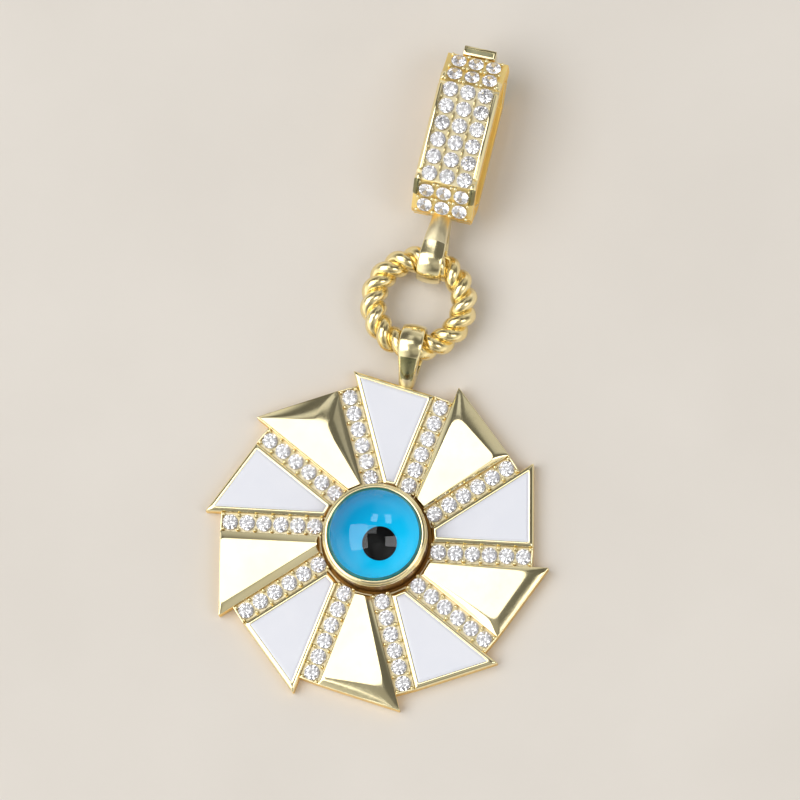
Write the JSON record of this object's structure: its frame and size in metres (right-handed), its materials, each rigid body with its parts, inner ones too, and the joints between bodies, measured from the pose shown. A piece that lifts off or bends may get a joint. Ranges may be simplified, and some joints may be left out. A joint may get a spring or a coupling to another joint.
{
  "type": "evil eye pendant",
  "caption": "Pinwheel pendant with a domed glass eye, white enamel blades, strips of cut stones, a twisted rope ring and a stone-set hinged clasp.",
  "frame": {"origin": "middle of the pinwheel plate, on its flat back, which lies on the surface", "axes": "+Z out of the front of the plate; +Y from the plate's middle towards the clasp; +X to the right seen from the front"},
  "size_m": [0.0286, 0.0551, 0.0065],
  "materials": {
    "gold_plate": "polished, light yellow gold plating",
    "eye_glass": "polished azure glass",
    "iris_foil": "smooth blue backing under the glass",
    "pupil_black": "gloss black",
    "white_enamel": "gloss cool white enamel",
    "clear_stones": "cut and polished clear stones"
  },
  "bodies": {
    "pendant": {"pinwheel": "gold_plate", "eye_glass": "eye_glass", "eye_iris": "iris_foil", "eye_pupil": "pupil_black", "enamel_1": "white_enamel", "enamel_2": "white_enamel", "enamel_3": "white_enamel", "enamel_4": "white_enamel", "enamel_5": "white_enamel", "stone_row_1": "clear_stones", "stone_row_2": "clear_stones", "stone_row_3": "clear_stones", "stone_row_4": "clear_stones", "stone_row_5": "clear_stones", "stone_row_6": "clear_stones", "stone_row_7": "clear_stones", "stone_row_8": "clear_stones", "stone_row_9": "clear_stones", "stone_row_10": "clear_stones", "twisted_ring": "gold_plate", "clasp_front": "gold_plate", "clasp_stones": "clear_stones"},
    "gate": {"clasp_gate": "gold_plate", "hinge_pin": "gold_plate"}
  },
  "joints": [
    {"name": "gate_hinge", "type": "hinge", "parent": "pendant", "child": "gate", "pos_m": [0.00054, 0.02801, 0.0025], "axis": [-0.9986, 0.0523, 0], "range_deg": [0, 55]}
  ]
}
